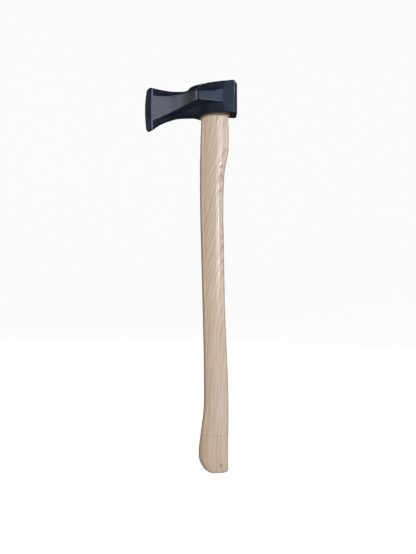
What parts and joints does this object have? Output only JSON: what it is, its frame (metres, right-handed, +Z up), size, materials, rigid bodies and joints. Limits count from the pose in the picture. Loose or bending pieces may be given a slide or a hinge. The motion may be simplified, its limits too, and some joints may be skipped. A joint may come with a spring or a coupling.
{
  "type": "splitting maul",
  "caption": "Splitting maul: forged wedge head with raised ground ramps and a square hammer poll, wedged onto a curved ash handle.",
  "frame": {"origin": "on the flat of the handle's butt, straight under the middle of the eye, in the plane of symmetry", "axes": "+Z up the handle to the head, +X towards the poll, -X towards the cutting edge, +Y across the maul"},
  "size_m": [0.1654, 0.058, 0.6997],
  "materials": {
    "head_enamel": "dark blue-black satin enamel on forged steel, worn bright on the edges, with a ground bare-steel ramp on each cheek",
    "ash": "sanded ash with open grain under a thin clear lacquer",
    "wedge_wood": "sawn beech, raw",
    "wedge_steel": "plain steel with a dull mill surface, hammered on the top"
  },
  "bodies": {
    "root": {"head": "head_enamel", "handle": "ash", "wooden_wedge": "wedge_wood", "steel_wedge_front": "wedge_steel", "steel_wedge_rear": "wedge_steel"}
  },
  "joints": []
}
